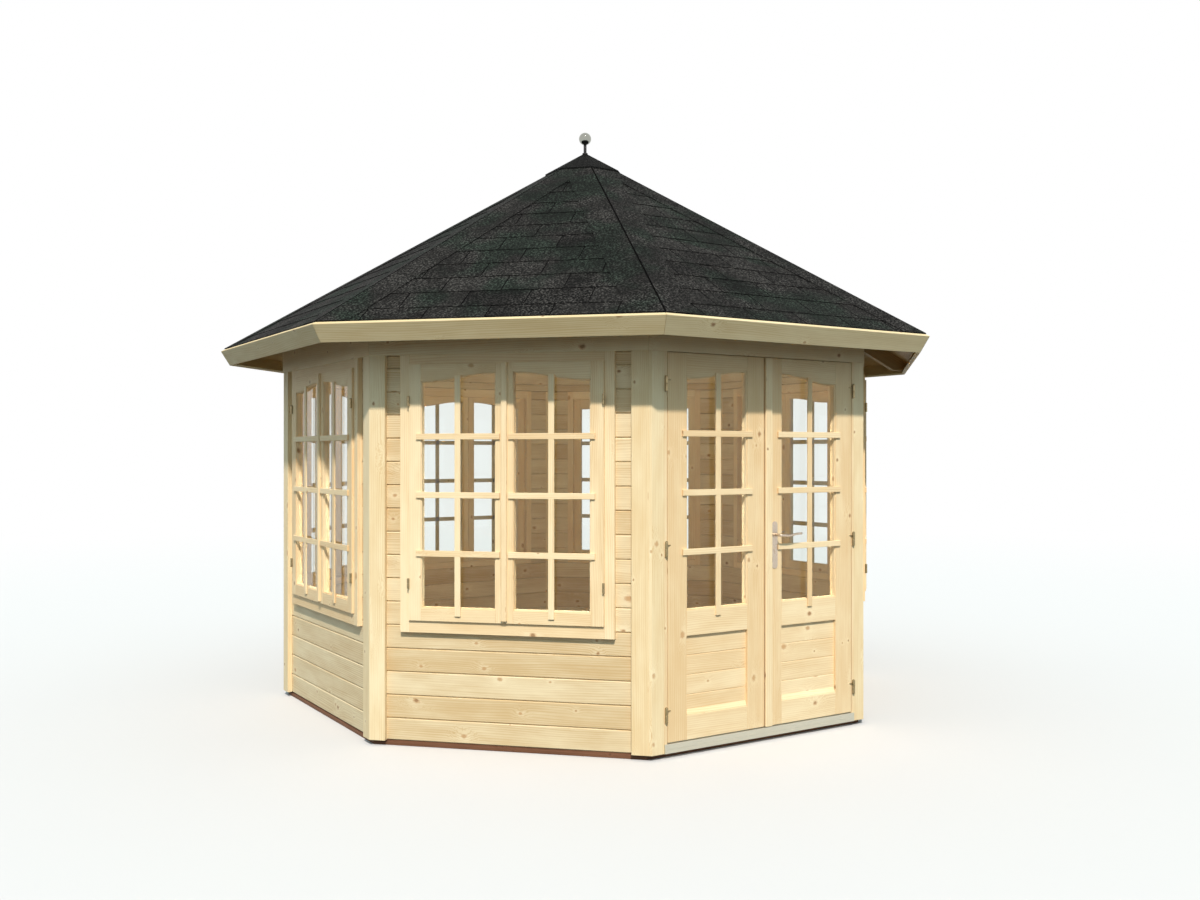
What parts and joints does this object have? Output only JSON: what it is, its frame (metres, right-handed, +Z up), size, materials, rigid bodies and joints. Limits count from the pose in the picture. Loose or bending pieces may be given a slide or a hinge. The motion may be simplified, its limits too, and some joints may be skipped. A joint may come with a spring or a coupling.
{
  "type": "garden pavilion",
  "caption": "Eight-sided timber garden pavilion with log walls, glazed casement windows, an outward-opening glazed double door and a pointed shingled roof with a ball finial.",
  "frame": {"origin": "centre of the plan at ground level, on the plane of the foundation beams' undersides", "axes": "+Z up; -Y is the front, square to the wall with the double door; +X to the right as seen from the front"},
  "size_m": [4.01, 4.01, 3.421],
  "materials": {
    "treated_timber": "rough, dark brown stain",
    "floor_timber": "planed, bare",
    "log_timber": "planed, bare softwood with knots",
    "post_timber": "planed, bare softwood with knots",
    "joinery_timber": "fine planed, bare softwood",
    "roof_timber": "planed, bare softwood",
    "fascia_timber": "planed, bare softwood with knots",
    "roof_felt": "bitumen felt shingles with charcoal mineral granules",
    "cap_felt": "dark bitumen felt",
    "clear_glass": "clear float glass",
    "threshold_metal": "mill finish",
    "hinge_metal": "zinc plated",
    "handle_metal": "satin",
    "finial_steel": "polished"
  },
  "bodies": {
    "root": {"foundation_frame": "treated_timber", "floor_joists": "treated_timber", "floor_boards": "floor_timber", "corner_posts": "post_timber", "front_left_log_wall": "log_timber", "front_left_window_frame": "joinery_timber", "front_left_window_sashes": "joinery_timber", "left_log_wall": "log_timber", "left_window_frame": "joinery_timber", "left_window_sashes": "joinery_timber", "back_left_log_wall": "log_timber", "back_left_window_frame": "joinery_timber", "back_left_window_sashes": "joinery_timber", "back_log_wall": "log_timber", "back_window_frame": "joinery_timber", "back_window_sashes": "joinery_timber", "back_right_log_wall": "log_timber", "back_right_window_frame": "joinery_timber", "back_right_window_sashes": "joinery_timber", "right_log_wall": "log_timber", "right_window_frame": "joinery_timber", "right_window_sashes": "joinery_timber", "front_right_log_wall": "log_timber", "front_right_window_frame": "joinery_timber", "front_right_window_sashes": "joinery_timber", "window_hinges": "hinge_metal", "window_glass": "clear_glass", "door_casings": "post_timber", "door_jambs": "joinery_timber", "door_head": "joinery_timber", "door_threshold": "threshold_metal", "door_hinge_pins": "hinge_metal", "upper_logs": "log_timber", "eaves_band": "post_timber", "hip_rafters": "roof_timber", "rafter_hub": "roof_timber", "roof_boards": "roof_timber", "roof_shingles": "roof_felt", "fascia": "fascia_timber", "roof_cap": "cap_felt", "finial": "finial_steel"},
    "left_leaf": {"left_leaf_frame": "joinery_timber", "left_leaf_panel": "joinery_timber", "left_leaf_glass": "clear_glass", "left_leaf_hinges": "hinge_metal"},
    "right_leaf": {"right_leaf_frame": "joinery_timber", "right_leaf_panel": "joinery_timber", "right_leaf_glass": "clear_glass", "right_leaf_hinges": "hinge_metal", "right_leaf_astragal": "joinery_timber", "lock_plates": "handle_metal"},
    "lever": {"door_lever": "handle_metal"}
  },
  "joints": [
    {"name": "left_leaf_hinge", "type": "hinge", "parent": "root", "child": "left_leaf", "pos_m": [-0.60431, -1.6935, 0.98], "axis": [0, 0, -1], "range_deg": [0, 110]},
    {"name": "right_leaf_hinge", "type": "hinge", "parent": "root", "child": "right_leaf", "pos_m": [0.60431, -1.6935, 0.98], "axis": [0, 0, 1], "range_deg": [0, 110]},
    {"name": "lever_turn", "type": "hinge", "parent": "right_leaf", "child": "lever", "pos_m": [0.0645, -1.686, 1.022], "axis": [0, 1, 0], "range_deg": [0, 40], "stiffness_Nm_per_rad": 1, "springref_deg": -51.57}
  ]
}
